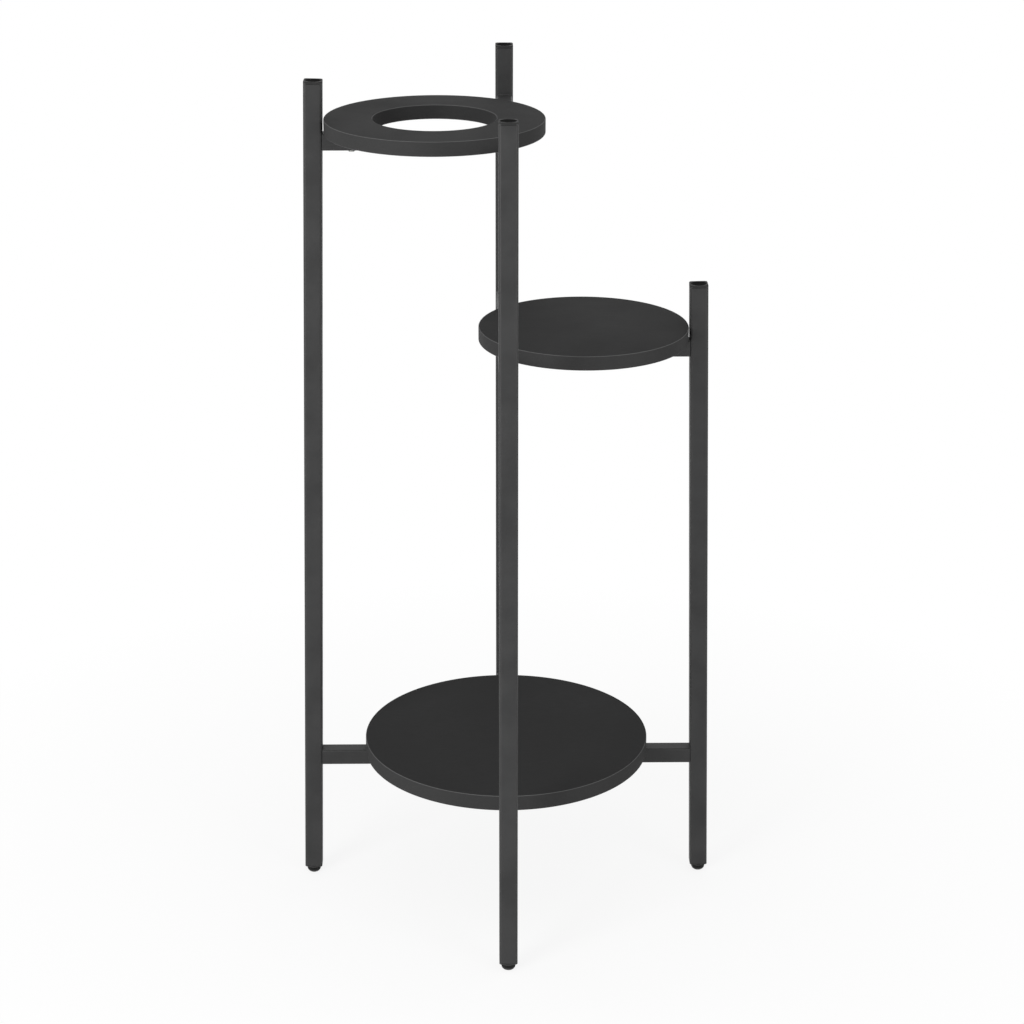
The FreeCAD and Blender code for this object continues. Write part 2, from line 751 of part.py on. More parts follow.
make_board("bottom", "bottom_shelf", dim.bottom_shelf_diameter, dim.bottom_shelf_thickness,
           dim.bottom_shelf_top, as_size(0))
make_board("middle", "middle_shelf", middle_shelf_diameter, dim.small_shelf_thickness,
           middle_shelf_top, middle_shelf_x)
make_board("upper", "upper_shelf_ring", upper_shelf_diameter, dim.small_shelf_thickness,
           upper_shelf_top, upper_shelf_x, hole=dim.pot_hole_diameter)
doc.recompute()

screw = make_screw_template()
bolt = make_bolt_template()
make_group("bottom_shelf_screws", screw, screw_placements("bottom", bottom_rail_z))
make_group("middle_shelf_screws", screw, screw_placements("middle", middle_rail_z))
make_group("upper_shelf_screws", screw, screw_placements("upper", upper_rail_z))
make_group("left_leg_bolts", bolt, bolt_placements("left", (bottom_rail_z, upper_rail_z)))
make_group("right_leg_bolts", bolt, bolt_placements("right", (bottom_rail_z, middle_rail_z)))
doc.recompute()

# ---------------------------------------------------------------- test and write

for item in doc.Objects:
    if "Invalid" in item.State or "Error" in item.State:
        raise RuntimeError(f"{item.Label} failed: {item.State}")
os.makedirs("parts", exist_ok=True)
for node in nodes:
    if node.Shape.isNull() or not node.Shape.isValid() or not node.Shape.Solids:
        raise RuntimeError(f"{node.Label} has no valid solid")
    node.Shape.exportStep(f"parts/{node.Label}.step")
print(f"{len(nodes)} nodes written")
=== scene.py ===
import json
from math import acos, asin, atan2, cos, floor, hypot, pi, radians, sin, tan

import bmesh
import bpy
from mathutils import Matrix, Vector

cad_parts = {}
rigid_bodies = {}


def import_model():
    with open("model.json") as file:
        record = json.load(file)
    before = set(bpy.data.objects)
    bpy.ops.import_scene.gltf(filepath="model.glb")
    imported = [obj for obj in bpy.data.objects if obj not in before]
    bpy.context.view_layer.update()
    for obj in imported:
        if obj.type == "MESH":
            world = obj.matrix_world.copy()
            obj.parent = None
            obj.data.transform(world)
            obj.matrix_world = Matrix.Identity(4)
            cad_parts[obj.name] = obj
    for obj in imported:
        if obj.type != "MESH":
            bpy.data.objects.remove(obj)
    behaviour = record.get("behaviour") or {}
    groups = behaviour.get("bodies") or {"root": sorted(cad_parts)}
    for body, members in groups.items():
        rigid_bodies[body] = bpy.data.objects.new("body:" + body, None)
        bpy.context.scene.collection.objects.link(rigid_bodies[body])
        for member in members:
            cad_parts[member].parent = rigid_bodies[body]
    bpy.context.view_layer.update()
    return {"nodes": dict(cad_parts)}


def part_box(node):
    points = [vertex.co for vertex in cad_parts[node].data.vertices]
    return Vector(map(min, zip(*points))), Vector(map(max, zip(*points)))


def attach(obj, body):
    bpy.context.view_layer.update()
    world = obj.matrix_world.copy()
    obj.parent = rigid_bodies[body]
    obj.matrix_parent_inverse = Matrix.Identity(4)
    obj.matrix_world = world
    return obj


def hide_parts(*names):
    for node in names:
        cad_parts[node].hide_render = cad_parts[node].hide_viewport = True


# Tiered plant stand: the finish of every tube, board, cap, foot and fastener, in metres.

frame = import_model()

MM = 0.001

# the stand's own sizes, as in the CAD
LEG_RADIUS = 227 * MM  # centre of the stand to a leg's axis, on the floor
LEAN = radians(1.4)
TALL = 940 * MM
SHORT = 717 * MM
LEG_SIDE = 20 * MM
LEG_CORNER = 3 * MM
LEG_WALL = 1.5 * MM
RAIL_SIDE = 18 * MM
RAIL_CORNER = 2 * MM
RAIL_WALL = 1.2 * MM
CAP_HEIGHT = 3 * MM
FOOT_HEIGHT = 10 * MM
INSERT_FLANGE = 1.5 * MM
STUD_RADIUS = 3.9 * MM
RING_HOLE_RADIUS = 66 * MM
BOLT_HEAD_RADIUS = 5.5 * MM
BOLT_HEAD_HEIGHT = 2.6 * MM
BOLT_RADIUS = 2.95 * MM

TUBE_BOTTOM = FOOT_HEIGHT + INSERT_FLANGE
HEADINGS = {"right": 0, "back": 90, "left": 180, "front": -90}
LEG_HEIGHTS = {"right": SHORT, "back": TALL, "left": TALL, "front": TALL}
BOLTED_RAILS = {
    "left": ("bottom_left_rail", "upper_left_rail"),
    "right": ("bottom_right_rail", "middle_right_rail"),
}

# how finely outlines are divided
CORNER_STEPS = 8  # an outline's round corner
SIDE_PARTS = 10  # an outline's straight side, where round rings follow it


# ---------------------------------------------------------------- points

def rounded_square(side, corner, along=1):
    """A square with round corners about the origin: (x, y, wear_and_painted_light), high on the corners
    for edge wear with a painted highlight.

    Each straight side has as many parts as along says.
    """
    inner = side / 2 - corner
    points = []
    for index, (sx, sy) in enumerate(((1, 1), (-1, 1), (-1, -1), (1, -1))):
        for step in range(CORNER_STEPS + 1):
            angle = (index + step / CORNER_STEPS) * pi / 2
            wear_and_painted_light = sin(pi * step / CORNER_STEPS)
            points.append((inner * sx + corner * cos(angle), inner * sy + corner * sin(angle), wear_and_painted_light))
        x, y = points[-1][:2]
        for part in range(1, along):
            run = inner * 2 * part / along
            points.append((x - sin(angle) * run, y + cos(angle) * run, 0))
    return points


def ring_like(outline, radius_at, wear_and_painted_light=0):
    """Points at the same directions as an outline's, each at the radius that the function gives."""
    ring = []
    for x, y, outline_wear in outline:
        angle = atan2(y, x)
        radius = radius_at(angle)
        ring.append((radius * cos(angle), radius * sin(angle), wear_and_painted_light))
    return ring


def round_ring(outline, radius, wear_and_painted_light=0):
    """Points at the same directions as an outline's, on a circle."""
    return ring_like(outline, lambda angle: radius, wear_and_painted_light)


def circle(radius, count):
    return [(radius * cos(2 * pi * k / count), radius * sin(2 * pi * k / count), 0)
            for k in range(count)]


def hexagon_radius(across_flats):
    """Radius of a hexagonal socket in each direction."""
    def radius(angle):
        return across_flats / 2 / cos((angle % (pi / 3)) - pi / 6)
    return radius


def cross_radius(length, width):
    """Radius of a cross recess in each direction."""
    def radius(angle):
        off_arm = (angle + pi / 4) % (pi / 2) - pi / 4
        along_arm = length / 2 / cos(off_arm)
        beside_arm = width / 2 / max(abs(sin(off_arm)), 1e-6)
        return min(along_arm, beside_arm)
    return radius


def rounded_profile(corners, steps=6):
    """A profile (radius, height, wear_and_painted_light) whose corners (radius, height, rounding) are
    arcs.
    """
    profile = []
    for index, (r, z, rounding) in enumerate(corners):
        here = Vector((r, z))
        at_an_end = index in (0, len(corners) - 1)
        if rounding == 0 or at_an_end:
            profile.append((r, z, 0))
            continue
        before = (Vector(corners[index - 1][:2]) - here).normalized()
        after = (Vector(corners[index + 1][:2]) - here).normalized()
        half_angle = acos(max(-1, min(1, before.dot(after)))) / 2
        centre = here + (before + after).normalized() * (rounding / sin(half_angle))
        start = here + before * (rounding / tan(half_angle)) - centre
        finish = here + after * (rounding / tan(half_angle)) - centre
        sweep = start.angle_signed(finish)
        for step in range(steps + 1):
            turned = Matrix.Rotation(-sweep * step / steps, 2) @ start
            wear_and_painted_light = sin(pi * step / steps)
            profile.append((centre.x + turned.x, centre.y + turned.y, wear_and_painted_light))
    return profile


def split_long_runs(profile, longest):
    """The same profile with its long steps divided into equal parts of about the given length."""
    result = [profile[0]]
    for (r0, z0, w0), (r1, z1, w1) in zip(profile, profile[1:]):
        parts = max(1, int(hypot(r1 - r0, z1 - z0) / longest))
        for part in range(1, parts + 1):
            t = part / parts
            result.append((r0 + (r1 - r0) * t, z0 + (z1 - z0) * t, w0 + (w1 - w0) * t))
    return result


# ---------------------------------------------------------------- meshes

def level(outline, z):
    """A loop of an outline at one height."""
    return [(Vector((x, y, z)), wear_and_painted_light) for x, y, wear_and_painted_light in outline]


def lathe_loops(profile, count):
    """Loops of a turned form, from a profile of (radius, height, wear_and_painted_light)."""
    loops = []
    for r, z, wear_and_painted_light in profile:
        loops.append([(Vector((x, y, z)), wear_and_painted_light) for x, y, flat in circle(r, count)])
    return loops


def through(loops, around=False):
    """A closed skin through loops of equal count, each a list of (point, wear_and_painted_light).

    The ends are closed by flat faces, or joined to each other where around is true.
    """
    count = len(loops[0])
    points = [point for loop in loops for point, wear_and_painted_light in loop]
    wears = [wear_and_painted_light for loop in loops for point, wear_and_painted_light in loop]
    faces = []
    pairs = len(loops) if around else len(loops) - 1
    for row in range(pairs):
        low = row * count
        high = (row + 1) % len(loops) * count
        for k in range(count):
            following = (k + 1) % count
            faces.append((low + k, low + following, high + following, high + k))
    if not around:
        faces.append(tuple(range(count)))
        faces.append(tuple(range((len(loops) - 1) * count, len(loops) * count)))
    return points, wears, faces


def moved(shape, place):
    points, wears, faces = shape
    return [place @ point for point in points], wears, faces


def together(shapes):
    """Several closed skins as one shape."""
    points = []
    wears = []
    faces = []
    for more_points, more_wears, more_faces in shapes:
        start = len(points)
        points += more_points
        wears += more_wears
        faces += [tuple(start + index for index in face) for face in more_faces]
    return points, wears, faces


def mesh_of(name, shape):
    """A mesh whose faces look outwards, with each point's value of wear and painted light."""
    points, wears, faces = shape
    mesh = bpy.data.meshes.new(name)
    mesh.from_pydata([tuple(point) for point in points], [], faces)
    layer = mesh.attributes.new("wear_and_painted_light", "FLOAT", "POINT")
    layer.data.foreach_set("value", wears)
    outwards = bmesh.new()
    outwards.from_mesh(mesh)
    bmesh.ops.recalc_face_normals(outwards, faces=outwards.faces)
    outwards.to_mesh(mesh)
    outwards.free()
    return mesh


def cut_by(mesh, cutter):
    """The mesh with another mesh's form taken out of it for good."""
    objects = bpy.context.scene.collection.objects
    stock = bpy.data.objects.new("stock", mesh)
    tool = bpy.data.objects.new("tool", cutter)
    objects.link(stock)
    objects.link(tool)
    cut = stock.modifiers.new("cut", "BOOLEAN")
    cut.operation = "DIFFERENCE"
    cut.solver = "EXACT"
    cut.object = tool
    depsgraph = bpy.context.evaluated_depsgraph_get()
    depsgraph.update()
    result = bpy.data.meshes.new_from_object(stock.evaluated_get(depsgraph))
    bpy.data.objects.remove(stock)
    bpy.data.objects.remove(tool)
    return result


def present(name, mesh, material, body="frame", replaces=()):
    """The piece itself: shading, material, slot, and the body that it rides on."""
    mesh.polygons.foreach_set("use_smooth", [True] * len(mesh.polygons))
    mesh.set_sharp_from_angle(angle=radians(40))
    mesh.materials.clear()
    mesh.materials.append(material)
    piece = bpy.data.objects.new(name, mesh)
    bpy.context.scene.collection.objects.link(piece)
    weighted = piece.modifiers.new("flat faces stay flat", "WEIGHTED_NORMAL")
    weighted.keep_sharp = True
    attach(piece, body)
    if replaces:
        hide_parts(*replaces)


# ---------------------------------------------------------------- materials

def grey(value):
    return (value, value, value, 1)


BLACK_COAT = (0.0255, 0.0255, 0.0257, 1)
# lighter coat: a random cloudy tone, and worn corners that also carry a painted highlight
BLACK_COAT_WORN_AND_HIGHLIGHT = grey(0.046)
BLACK_BOARD = (0.0235, 0.0235, 0.0237, 1)
BLACK_BOARD_DUSTY = grey(0.033)
# the board's rim, painted lighter as painted light
BOARD_RIM_PAINTED_LIGHT = grey(0.050)
# painted highlight along the middle of each rounded board edge
BOARD_EDGE_PAINTED_HIGHLIGHT = grey(0.130)
# painted shade, for recesses such as the cap's bowl
PAINTED_HOLLOW_SHADE = grey(0.0015)
# painted highlight on the cap's lip, also on worn plastic edges
EDGE_WEAR_AND_HIGHLIGHT = grey(0.070)


class Paint:
    """Shorthand for a node material about one Principled shader."""

    def __init__(self, name):
        self.material = bpy.data.materials.new(name)
        self.material.use_nodes = True
        self.nodes = self.material.node_tree.nodes
        self.links = self.material.node_tree.links
        self.shader = self.nodes["Principled BSDF"]
        self.place = self.nodes.new("ShaderNodeTexCoord").outputs["Object"]

    def set(self, **values):
        for socket, value in values.items():
            self.shader.inputs[socket.replace("_", " ")].default_value = value

    def noise(self, scale, detail, stretch=None):
        texture = self.nodes.new("ShaderNodeTexNoise")
        texture.inputs["Scale"].default_value = scale
        texture.inputs["Detail"].default_value = detail
        source = self.place
        if stretch is not None:
            mapping = self.nodes.new("ShaderNodeMapping")
            mapping.inputs["Scale"].default_value = stretch
            self.links.new(source, mapping.inputs["Vector"])
            source = mapping.outputs["Vector"]
        self.links.new(source, texture.inputs["Vector"])
        return texture.outputs["Fac"]

    def between(self, factor, old_range, new_range):
        """The factor's old range, turned into the new range and held there."""
        node = self.nodes.new("ShaderNodeMapRange")
        self.links.new(factor, node.inputs["Value"])
        sockets = ("From Min", "From Max", "To Min", "To Max")
        for socket, value in zip(sockets, (*old_range, *new_range)):
            node.inputs[socket].default_value = value
        return node.outputs["Result"]

    def times(self, first, second):
        node = self.nodes.new("ShaderNodeMath")
        node.operation = "MULTIPLY"
        self.links.new(first, node.inputs[0])
        self.links.new(second, node.inputs[1])
        return node.outputs["Value"]

    def wear_and_painted_light(self):
        node = self.nodes.new("ShaderNodeAttribute")
        node.attribute_name = "wear_and_painted_light"
        return node.outputs["Fac"]

    def blend(self, factor, low, high):
        """A colour between two, by the factor."""
        node = self.nodes.new("ShaderNodeMix")
        node.data_type = "RGBA"
        self.links.new(factor, node.inputs[0])
        colours = [socket for socket in node.inputs if socket.type == "RGBA"]
        for socket, colour in zip(colours, (low, high)):
            if isinstance(colour, tuple):
                socket.default_value = colour
            else:
                self.links.new(colour, socket)
        return next(socket for socket in node.outputs if socket.type == "RGBA")

    def colour(self, output):
        self.links.new(output, self.shader.inputs["Base Color"])

    def roughness(self, output):
        self.links.new(output, self.shader.inputs["Roughness"])

    def bump(self, height, strength, distance):
        """Bumps are chained, so that each adds to the last."""
        node = self.nodes.new("ShaderNodeBump")
        node.inputs["Strength"].default_value = strength
        node.inputs["Distance"].default_value = distance
        self.links.new(height, node.inputs["Height"])
        normal = self.shader.inputs["Normal"]
        if normal.is_linked:
            self.links.new(normal.links[0].from_socket, node.inputs["Normal"])
        self.links.new(node.outputs["Normal"], normal)


def make_powder_coat():
    """Satin black powder coat: orange peel, faint cloudiness, and thin lighter corners, which are edge
    wear with a painted highlight.
    """
    paint = Paint("satin black powder coat")
    cloud = paint.noise(scale=28, detail=3)
    fleck = paint.noise(scale=420, detail=2)
    cloudy = paint.between(cloud, (0.35, 0.65), (0, 0.35))
    base = paint.blend(cloudy, BLACK_COAT, BLACK_COAT_WORN_AND_HIGHLIGHT)
    # corners painted lighter: edge wear with a painted highlight, broken up by flecks
    corner = paint.times(paint.wear_and_painted_light(), paint.between(fleck, (0.40, 0.62), (0.05, 0.4)))
    paint.colour(paint.blend(corner, base, BLACK_COAT_WORN_AND_HIGHLIGHT))
    paint.set(Specular_IOR_Level=0.2)
    paint.roughness(paint.between(cloud, (0.3, 0.7), (0.42, 0.54)))
    paint.bump(paint.noise(scale=900, detail=2), strength=0.35, distance=0.04 * MM)
    paint.bump(paint.noise(scale=160, detail=1), strength=0.25, distance=0.08 * MM)
    return paint.material


def make_black_board():
    """Painted board: a fine sprayed grain, a faint cloud, a rim painted lighter as painted light, and
    painted highlights along its rounded edges.
    """
    paint = Paint("painted black board")
    cloud = paint.noise(scale=14, detail=4)
    grain = paint.noise(scale=1500, detail=3)
    streak = paint.noise(scale=60, detail=4, stretch=(1, 12, 12))
    tone = paint.blend(paint.between(cloud, (0.3, 0.7), (0, 0.5)), BLACK_BOARD, BLACK_BOARD_DUSTY)
    tone = paint.blend(paint.between(streak, (0.45, 0.7), (0, 0.35)), tone, BLACK_BOARD_DUSTY)
    # rim and rounded edges painted lighter, as painted light, broken up by the grain
    painted_rim_light = paint.times(paint.wear_and_painted_light(), paint.between(grain, (0.3, 0.6), (0.4, 0.8)))
    tone = paint.blend(painted_rim_light, tone, BOARD_RIM_PAINTED_LIGHT)
    # a thin painted highlight along the middle of each rounded edge
    painted_edge_line = paint.between(paint.wear_and_painted_light(), (0.75, 1), (0, 0.8))
    paint.colour(paint.blend(painted_edge_line, tone, BOARD_EDGE_PAINTED_HIGHLIGHT))
    paint.set(Specular_IOR_Level=0.05)
    paint.roughness(paint.between(cloud, (0.3, 0.7), (0.6, 0.72)))
    paint.bump(grain, strength=0.4, distance=0.05 * MM)
    paint.bump(streak, strength=0.2, distance=0.06 * MM)
    return paint.material


def make_plastic(name, dark, light, rough_range):
    """Moulded plastic with a spark-eroded grain.

    Where its value is negative it takes painted shade, and where it is positive a painted highlight, which
    on edges also stands for wear.
    """
    paint = Paint(name)
    grain = paint.noise(scale=2200, detail=2)
    cloud = paint.noise(scale=90, detail=3)
    plain = paint.blend(paint.between(cloud, (0.3, 0.7), (0, 1)), grey(dark), grey(light))
    # painted shade where the value is negative
    with_painted_shade = paint.blend(paint.between(paint.wear_and_painted_light(), (-1, 0), (0, 1)), PAINTED_HOLLOW_SHADE, plain)
    # painted highlight where the value is positive, with edge wear
    paint.colour(paint.blend(paint.between(paint.wear_and_painted_light(), (0, 1), (0, 1)), with_painted_shade, EDGE_WEAR_AND_HIGHLIGHT))
    paint.set(Specular_IOR_Level=0.12)
    paint.roughness(paint.between(cloud, (0.3, 0.7), rough_range))
    paint.bump(grain, strength=0.5, distance=0.03 * MM)
    return paint.material


def make_metal(name, dark, light, rough_range):
    """Plated or blackened steel, with turning marks and small stains."""
    paint = Paint(name)
    stain = paint.noise(scale=700, detail=4)
    mark = paint.noise(scale=300, detail=2, stretch=(1, 1, 14))
    paint.set(Metallic=1.0)
    paint.colour(paint.blend(paint.between(stain, (0.35, 0.7), (0, 1)), dark, light))
    paint.roughness(paint.between(stain, (0.3, 0.7), rough_range))
    paint.bump(mark, strength=0.3, distance=0.02 * MM)
    return paint.material


powder_coat = make_powder_coat()
board_paint = make_black_board()
cap_plastic = make_plastic("black cap plastic", 0.019, 0.028, (0.6, 0.72))
insert_plastic = make_plastic("foot insert plastic", 0.024, 0.036, (0.42, 0.55))
glide_plastic = make_plastic("glide plastic", 0.004, 0.008, (0.4, 0.55))
rail_insert_plastic = make_plastic("rail insert plastic", 0.022, 0.034, (0.45, 0.6))
zinc = make_metal("zinc plated steel", (0.42, 0.42, 0.41, 1), (0.60, 0.60, 0.58, 1), (0.28, 0.48))
black_steel = make_metal("black bolt steel", (0.035, 0.035, 0.036, 1), grey(0.06), (0.34, 0.5))


# ---------------------------------------------------------------- legs

def leg_place(side):
    """From a leg's own axis, with the floor at z = 0, to the stand."""
    angle = radians(HEADINGS[side])
    foot = Vector((LEG_RADIUS * cos(angle), LEG_RADIUS * sin(angle), 0))
    return Matrix.Translation(foot) @ Matrix.Rotation(angle, 4, "Z") @ Matrix.Rotation(-LEAN, 4, "Y")


def leg_length(side):
    return LEG_HEIGHTS[side] / cos(LEAN)


def leg_face(height):
    """Distance from the stand's centre to a leg's inner face, at a height."""
    return LEG_RADIUS - height * tan(LEAN) - LEG_SIDE / 2 / cos(LEAN)


def rail_height(node):
    """Height of the middle of a rail."""
    low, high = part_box(node)
    return (low.z + high.z) / 2


def bolt_place(side, height):
    """From a bolt's own axis, with its head flush at z = 0 and the shank along +z, to the stand."""
    on_face = Matrix.Translation((LEG_SIDE / 2, 0, height / cos(LEAN)))
    return leg_place(side) @ on_face @ Matrix.Rotation(-pi / 2, 4, "Y")


def tube_loops(low, high):
    """A leg tube: outer skin up, over the end, inner skin down. The cut ends have a small bevel."""
    bevel = 0.25 * MM
    outer = rounded_square(LEG_SIDE, LEG_CORNER)
    beveled = rounded_square(LEG_SIDE - bevel * 2, LEG_CORNER - bevel)
    inner = rounded_square(LEG_SIDE - LEG_WALL * 2, LEG_CORNER - LEG_WALL)
    return [level(beveled, low), level(outer, low + bevel), level(outer, high - bevel),
            level(beveled, high), level(inner, high), level(inner, low)]


def bolt_seat():
    """Loops of a flush bolt's countersunk hole, from just outside the leg's face inwards."""
    gap = 0.12 * MM
    above = 0.3 * MM
    return lathe_loops((
        (BOLT_HEAD_RADIUS + gap + above, -above, 0),
        (BOLT_HEAD_RADIUS + gap, 0, 0),
        (BOLT_RADIUS + gap * 2, BOLT_HEAD_HEIGHT + gap, 0),
    ), 48)


def make_leg(side):
    """A leg tube, countersunk in its outer wall where bolts sit flush."""
    name = f"{side}_leg_tube"
    loops = tube_loops(TUBE_BOTTOM, leg_length(side) - CAP_HEIGHT)
    mesh = mesh_of(name, moved(through(loops, around=True), leg_place(side)))
    for rail in BOLTED_RAILS.get(side, ()):
        seat = moved(through(bolt_seat()), bolt_place(side, rail_height(rail)))
        mesh = cut_by(mesh, mesh_of("bolt seat", seat))
    present(name, mesh, powder_coat, replaces=(f"leg_{side}",))


def cap_shoulder(top):
    """The soft edge round a cap's head, from its side in to its top."""
    rounding = 0.7 * MM
    steps = 5
    loops = []
    for step in range(steps + 1):
        angle = step / steps * pi / 2
        inset = rounding * (1 - cos(angle))
        outline = rounded_square(LEG_SIDE - inset * 2, LEG_CORNER - inset, SIDE_PARTS)
        plain = [(x, y, 0) for x, y, wear_and_painted_light in outline]
        loops.append(level(plain, top - rounding + rounding * sin(angle)))
    return loops


def cap_bowl(outline, top):
    """A cap's round bowl, from its thin lip, which carries a painted highlight, down to the middle.

    The bowl's value is negative, which the cap's plastic shows as painted shade.
    """
    radius = 8.7 * MM
    depth = 4.5 * MM
    lip = 0.25 * MM
    steps = 10
    # the lip carries a painted highlight
    loops = [level(round_ring(outline, radius + lip, wear_and_painted_light=1), top),
             level(round_ring(outline, radius + lip / 4, wear_and_painted_light=1), top - lip / 3)]
    ball = (radius ** 2 + depth ** 2) / (2 * depth)
    widest = asin(radius / ball)
    for step in range(steps):
        angle = widest * (1 - step / steps)
        # the bowl carries painted shade
        ring = round_ring(outline, ball * sin(angle), wear_and_painted_light=-1)
        loops.append(level(ring, top - lip - depth + ball * (1 - cos(angle))))
    return loops


def make_cap(side):
    """A moulded cap: a soft-edged square head with a deep round bowl, and a plug below."""
    plug_side = 14 * MM
    plug_corner = 1 * MM
    plug_length = 14 * MM
    groove = 0.35 * MM  # shadow line where the head meets the tube
    top = leg_length(side)
    under = top - CAP_HEIGHT
    plug = rounded_square(plug_side, plug_corner, SIDE_PARTS)
    beveled = rounded_square(LEG_SIDE - groove * 2, LEG_CORNER - groove, SIDE_PARTS)
    head = rounded_square(LEG_SIDE, LEG_CORNER, SIDE_PARTS)
    loops = [level(plug, under - plug_length), level(plug, under), level(beveled, under),
             level(head, under + groove), *cap_shoulder(top), *cap_bowl(head, top)]
    name = f"{side}_leg_cap"
    mesh = mesh_of(name, moved(through(loops), leg_place(side)))
    present(name, mesh, cap_plastic, replaces=(f"cap_{side}",))


# ---------------------------------------------------------------- feet

def make_foot_insert(side):
    """The ribbed plug under a tube: a flange that shows, and a shank bored for the stud."""
    edge = 0.3 * MM
    shank_side = 15.4 * MM
    shank_corner = 1 * MM
    shank_length = 22 * MM
    rib_side = 16.8 * MM
    rib_corner = 1.3 * MM
    rib_height = 1.2 * MM
    rib_spacing = 3.5 * MM
    bore_radius = STUD_RADIUS + 0.08 * MM
    flange = rounded_square(LEG_SIDE, LEG_CORNER, SIDE_PARTS)
    soft = rounded_square(LEG_SIDE - edge * 2, LEG_CORNER - edge, SIDE_PARTS)
    shank = rounded_square(shank_side, shank_corner, SIDE_PARTS)
    rib = rounded_square(rib_side, rib_corner, SIDE_PARTS)
    bore = round_ring(flange, bore_radius)
    low = FOOT_HEIGHT
    end = TUBE_BOTTOM + shank_length
    loops = [level(bore, low), level(soft, low), level(flange, low + edge),
             level(flange, TUBE_BOTTOM - edge), level(soft, TUBE_BOTTOM), level(shank, TUBE_BOTTOM)]
    for rib_low in (TUBE_BOTTOM + rib_spacing, TUBE_BOTTOM + rib_spacing * 2):
        rib_high = rib_low + rib_height
        loops += [level(shank, rib_low), level(rib, rib_low), level(rib, rib_high), level(shank, rib_high)]
    loops += [level(shank, end), level(bore, end)]
    name = f"{side}_foot_insert"
    mesh = mesh_of(name, moved(through(loops, around=True), leg_place(side)))
    present(name, mesh, insert_plastic, replaces=(f"foot_insert_{side}",))


def foot_body_loops(count):
    """A foot's domed sole, fluted grip and neck, up to the start of its stud."""
    sole = 0.14 * MM  # keeps the leaning foot's sole clear of the floor
    sole_radius = 7.3 * MM
    sole_rounding = 5.2 * MM
    grip_radius = 8.25 * MM
    grip_top = 8.5 * MM
    neck_radius = 6 * MM
    profile = rounded_profile((
        (0.4 * MM, sole, 0),
        (sole_radius, sole, sole_rounding),
        (grip_radius, grip_top, 0.7 * MM),
        (neck_radius, grip_top, 0.4 * MM),
        (neck_radius, FOOT_HEIGHT, 0.3 * MM),
        (STUD_RADIUS - 0.4 * MM, FOOT_HEIGHT, 0),
    ), steps=8)
    flutes = 24
    flute_depth = 0.35 * MM
    flutes_low = 4.6 * MM
    flutes_high = 8 * MM
    loops = []
    for r, z, wear_and_painted_light in split_long_runs(profile, 0.8 * MM):
        fluted = flutes_low < z < flutes_high and r > neck_radius + 1 * MM
        loop = []
        for k in range(count):
            angle = 2 * pi * k / count
            depth = flute_depth * (0.5 - 0.5 * cos(angle * flutes)) if fluted else 0
            radius = r - depth
            loop.append((Vector((radius * cos(angle), radius * sin(angle), z)), wear_and_painted_light))
        loops.append(loop)
    return loops


def thread_loops(count):
    """A stud's thread, from the foot's neck up, painted lighter along its crest."""
    pitch = 1.25 * MM
    thread_depth = 0.62 * MM
    turns = 15
    steps_per_turn = 8
    loops = []
    for step in range(turns * steps_per_turn):
        z = FOOT_HEIGHT + (step + 1) * pitch / steps_per_turn
        loop = []
        for k in range(count):
            angle = 2 * pi * k / count
            phase = z / pitch - k / count
            ridge = abs(2 * (phase - floor(phase)) - 1)
            radius = STUD_RADIUS - thread_depth * (1 - ridge)
            loop.append((Vector((radius * cos(angle), radius * sin(angle), z)), ridge))
        loops.append(loop)
    return loops


def make_foot(side):
    """A glide foot, which moves along its leg's axis."""
    count = 96
    name = f"{side}_glide_foot"
    shape = through(foot_body_loops(count) + thread_loops(count))
    mesh = mesh_of(name, moved(shape, leg_place(side)))
    present(name, mesh, glide_plastic, f"foot_{side}", replaces=(f"foot_{side}",))


# ---------------------------------------------------------------- rails

def along_heading(side, z):
    """From a rail's own axis, with +x towards its leg, to the stand."""
    return Matrix.Translation((0, 0, z)) @ Matrix.Rotation(radians(HEADINGS[side]), 4, "Z")


def make_rail(node, side, inner_end=None):
    """A rail along its heading. Without an inner end it runs on to the opposite leg."""
    z = rail_height(node)

    def outer_loop(outline):
        return [(Vector((leg_face(z + v), u, v)), wear_and_painted_light) for u, v, wear_and_painted_light in outline]

    def inner_loop(outline):
        if inner_end is None:
            return [(Vector((-leg_face(z + v), u, v)), wear_and_painted_light) for u, v, wear_and_painted_light in outline]
        return [(Vector((inner_end, u, v)), wear_and_painted_light) for u, v, wear_and_painted_light in outline]

    outside = rounded_square(RAIL_SIDE, RAIL_CORNER)
    inside = rounded_square(RAIL_SIDE - RAIL_WALL * 2, RAIL_CORNER - RAIL_WALL)
    loops = [inner_loop(outside), outer_loop(outside), outer_loop(inside), inner_loop(inside)]
    name = f"{node}_tube"
    mesh = mesh_of(name, moved(through(loops, around=True), along_heading(side, z)))
    present(name, mesh, powder_coat, replaces=(node,))


def make_stub_plug():
    """The soft-edged cap in the inner end of the short upper rail."""
    shank_side = 15.2 * MM
    shank_corner = 0.6 * MM
    head_thickness = 1.5 * MM
    soft = 0.5 * MM
    low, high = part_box("upper_left_rail_plug")
    face = high.x
    shoulder = face - head_thickness

    def across(outline, x):
        return [(Vector((x, u, v)), wear_and_painted_light) for u, v, wear_and_painted_light in outline]

    head = rounded_square(RAIL_SIDE, RAIL_CORNER)
    inset = rounded_square(RAIL_SIDE - soft * 2, RAIL_CORNER - soft)
    shank = rounded_square(shank_side, shank_corner)
    loops = [across(shank, low.x), across(shank, shoulder), across(head, shoulder),
             across(head, face - soft), across(inset, face)]
    name = "upper_left_rail_end_cap"
    place = Matrix.Translation((0, 0, (low.z + high.z) / 2))
    mesh = mesh_of(name, moved(through(loops), place))
    present(name, mesh, cap_plastic, replaces=("upper_left_rail_plug",))


# ---------------------------------------------------------------- welds

